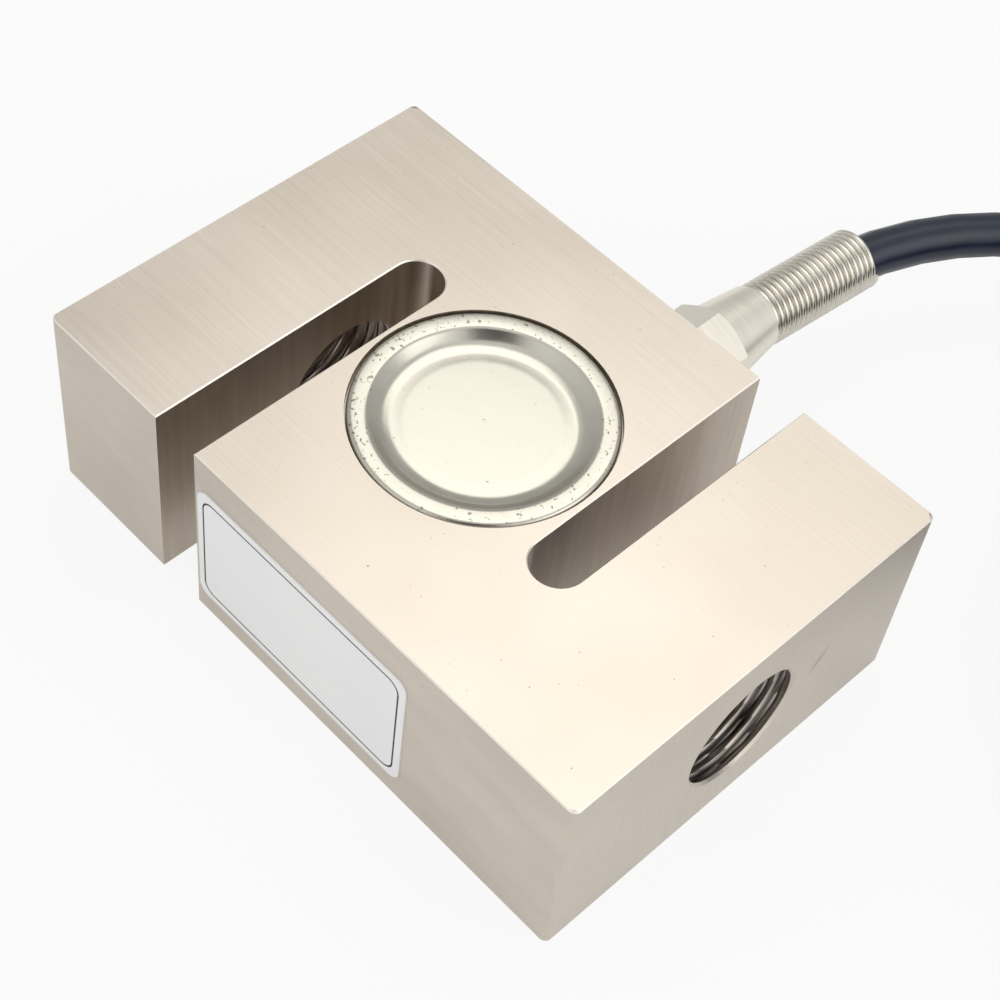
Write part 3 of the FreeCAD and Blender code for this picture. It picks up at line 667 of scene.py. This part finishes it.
# ------------------------------------------------------------------ cable
# Four cores in a round black PVC jacket, 5.4 mm thick and about 3 m long. It leaves the
# spring in an easy bend, and the rest is wound on itself in about fifteen turns and tied.
CABLE, LYING = 5.4, 2.7
CABLE_ROUTE = [
    (2.4, 23.0, 12.7), (2.4, 40.5, 12.7), (3.66, 58.46, 12.7), (10.02, 72.72, 12.5),
    (19.98, 83.05, 11.4), (31.0, 90.0, 8.2), (40.1, 93.9, 4.9), (49.1, 96.4, LYING),
    (58.0, 97.6, LYING)]
HANK, HANK_MIDDLE = Vector((85.885, 62.915, 0)), 9.7
LAYERS, LANES, LAYER, OUTER_LANE, INNER_LANE = 4, 4, 4.68, 39.45, 20.55
POINTS_PER_TURN, START_ANGLE, WOUND, LANE_CHANGE, SLACK = 20, 97.7, 14.95, 0.22, 1.008
TIE_ANGLE, TIE_PULL, TIE_HOLDS, TIE_EASES = -90, 0.105, 8, 18
TAIL = ((105, 31, 16.5), (75, 30.7, 19.8), (45, 29, 22.7), (15, 26, 22.7))

# Extruded: a deep blue-black skin with a soft sheen and a slight ripple from the cores.
jacket, tree, output = new_material("extruded_black_pvc")
place = add(tree, "ShaderNodeTexCoord")
ripple = add(tree, "ShaderNodeTexNoise", {"Vector": place.outputs["Object"], "Scale": 260.0,
                                          "Detail": 2.0})
tone = add(tree, "ShaderNodeMix", {"Factor": ripple.outputs["Fac"], 6: linear("0a1020"),
                                   7: linear("161f38")}, data_type="RGBA")
rough = add(tree, "ShaderNodeMapRange", {
    "Value": ripple.outputs["Fac"], "To Min": 0.26, "To Max": 0.38})
bump = add(tree, "ShaderNodeBump", {"Strength": 0.15, "Distance": 0.00005,
                                    "Height": ripple.outputs["Fac"]})
shader = add(tree, "ShaderNodeBsdfPrincipled", {
    "Base Color": tone.outputs[2], "Roughness": rough.outputs[0], "IOR": 1.53,
    "Normal": bump.outputs[0]})
tree.links.new(shader.outputs[0], output.inputs["Surface"])


def in_hank(degrees, radius, height):
    """A point at an angle round the hank's middle."""
    angle = math.radians(degrees)
    return HANK + Vector((radius * math.cos(angle), radius * math.sin(angle), height))


# Each turn has a lane of its own: four lie side by side from the outside in, the next four
# on them from the inside out, and so on. The last lane of all stays empty, and the tail
# climbs onto the hank.
lanes = []
for layer in range(LAYERS):
    for lane in range(LANES):
        radius = INNER_LANE + CABLE * lane if layer % 2 else OUTER_LANE - CABLE * lane
        lanes.append((radius, LYING + LAYER * layer))
lanes.pop()

# Near the end of a turn the cable eases over into the next lane. Under the tie all turns are
# pulled a little towards the hank's middle height.
wound = []
for step in range(1, int(WOUND * POINTS_PER_TURN) + 1):
    turns = step / POINTS_PER_TURN
    lane = int(turns)
    here, after = lanes[lane], lanes[min(lane + 1, len(lanes) - 1)]
    change = max(0.0, (turns - lane - (1 - LANE_CHANGE)) / LANE_CHANGE)
    change = change * change * (3 - 2 * change)
    radius = (here[0] + (after[0] - here[0]) * change) * SLACK
    height = here[1] + (after[1] - here[1]) * change
    degrees = START_ANGLE - 360 * turns
    from_tie = abs((degrees - TIE_ANGLE + 180) % 360 - 180)
    squeeze = TIE_PULL * max(0.0, 1 - max(0.0, from_tie - TIE_HOLDS) / TIE_EASES)
    height += (HANK_MIDDLE - height) * squeeze
    wound.append(in_hank(degrees, radius, height))
line = [Vector(p) for p in CABLE_ROUTE] + wound + [in_hank(*point) for point in TAIL]

curve = bpy.data.curves.new("cable_cord", "CURVE")
curve.dimensions = "3D"
spline = curve.splines.new("NURBS")
spline.points.add(len(line) - 1)
for point, position in zip(spline.points, line):
    point.co = (*(position * MM), 1)
spline.order_u = 3
spline.use_endpoint_u = True
spline.resolution_u = 3
curve.bevel_depth = CABLE / 2 * MM
curve.bevel_resolution = 4
curve.use_fill_caps = True
curve.materials.append(jacket)
cord = bpy.data.objects.new("cable_cord", curve)
bpy.context.scene.collection.objects.link(cord)
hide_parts("cable", "cable_coil", "cable_tail")
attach(cord, "root")

# ------------------------------------------------------------------ tie, sleeve and leads
# A nylon strap holds the hank. The end is dressed for wiring: a shrunk sleeve, four
# coloured cores with bared tinned strands, and the screen's drain wire.
TIE_WIDE, TIE_ACROSS, TIE_HIGH, TIE_SHEET = 8.0, 25.3, 19.4, 1.0
TIE_CORNER, TIE_TRIM = 4.0, 0.3
TIE_PLACE = HANK + Vector((0, -(OUTER_LANE + INNER_LANE) / 2, HANK_MIDDLE))

# Rings across the strap's outside from edge to edge, then back along its inside: the place
# along X, how much narrower than the outside, and the corner radius.
edge, flat, lining = TIE_WIDE / 2, TIE_WIDE / 2 - TIE_TRIM, 2 * TIE_SHEET
rings = [(-edge, TIE_TRIM, TIE_CORNER - TIE_TRIM / 2), (-flat, 0, TIE_CORNER),
         (flat, 0, TIE_CORNER), (edge, TIE_TRIM, TIE_CORNER - TIE_TRIM / 2),
         (edge, lining, TIE_CORNER - TIE_SHEET), (-edge, lining, TIE_CORNER - TIE_SHEET)]
verts = [TIE_PLACE + Vector((x, y, z)) for x, inset, corner in rings
         for y, z in round_rectangle(TIE_ACROSS - inset, TIE_HIGH - inset, corner)]
around = len(verts) // len(rings)
faces = []
for ring in range(len(rings)):
    onward = ((ring + 1) % len(rings) - ring) * around
    for step in range(around):
        a, b = ring * around + step, ring * around + (step + 1) % around
        faces.append((a, b, b + onward, a + onward))
strap = new_piece("tie_strap", verts, faces, [])
shade(strap, 40)
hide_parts("cable_tie")
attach(strap, "root")
nodes["cable_tie"] = strap

# The small pieces, each in its own material: name, nodes, dark and pale tone, roughness and
# metallic. Nylon and shrunk sleeve are dull black, the cores' insulation is plain and a
# little glossy, the bared strands are tin bright. Inside the covers lie foil gauges on
# amber film under pale silicone, a green board and tan resistors.
for name, dressed, dark, pale, rough, metal in (
        ("moulded_nylon", ["cable_tie"], "1b1b1c", "2a2a2b", 0.42, 0.0),
        ("shrunk_polyolefin", ["end_sleeve"], "121213", "1f1f20", 0.5, 0.0),
        ("red_pvc_insulation", ["core_red"], "a01a14", "b8261c", 0.35, 0.0),
        ("black_pvc_insulation", ["core_black"], "141414", "222222", 0.35, 0.0),
        ("green_pvc_insulation", ["core_green"], "11652c", "1c7a38", 0.35, 0.0),
        ("white_pvc_insulation", ["core_white"], "dcdad4", "eceae4", 0.35, 0.0),
        ("tinned_copper_strand",
         ["core_red_strands", "core_black_strands", "core_green_strands", "core_white_strands",
          "shield_drain"], "a8a298", "d8d3ca", 0.3, 1.0),
        ("gauge_polyimide_foil",
         ["top_strain_gauge_a", "top_strain_gauge_b", "bottom_strain_gauge_a",
          "bottom_strain_gauge_b"], "a8691c", "c98a34", 0.4, 0.2),
        ("cast_silicone", ["top_gauge_coating", "bottom_gauge_coating"],
         "cfcfca", "e2e2dd", 0.45, 0.0),
        ("epoxy_board", ["terminal_board"], "17512c", "216a3b", 0.4, 0.0),
        ("lacquered_resistor", ["zero_resistor", "span_resistor"], "b08a58", "c9a877", 0.3, 0.0)):
    material, tree, output = new_material(name)
    place = add(tree, "ShaderNodeTexCoord")
    mottle = add(tree, "ShaderNodeTexNoise", {"Vector": place.outputs["Object"], "Scale": 900.0,
                                              "Detail": 2.0})
    tone = add(tree, "ShaderNodeMix", {"Factor": mottle.outputs["Fac"], 6: linear(dark),
                                       7: linear(pale)}, data_type="RGBA")
    bump = add(tree, "ShaderNodeBump", {"Strength": 0.1, "Distance": 0.00003,
                                        "Height": mottle.outputs["Fac"]})
    shader = add(tree, "ShaderNodeBsdfPrincipled", {
        "Base Color": tone.outputs[2], "Metallic": metal, "Roughness": rough,
        "Normal": bump.outputs[0]})
    tree.links.new(shader.outputs[0], output.inputs["Surface"])
    for node in dressed:
        dress(node, material)
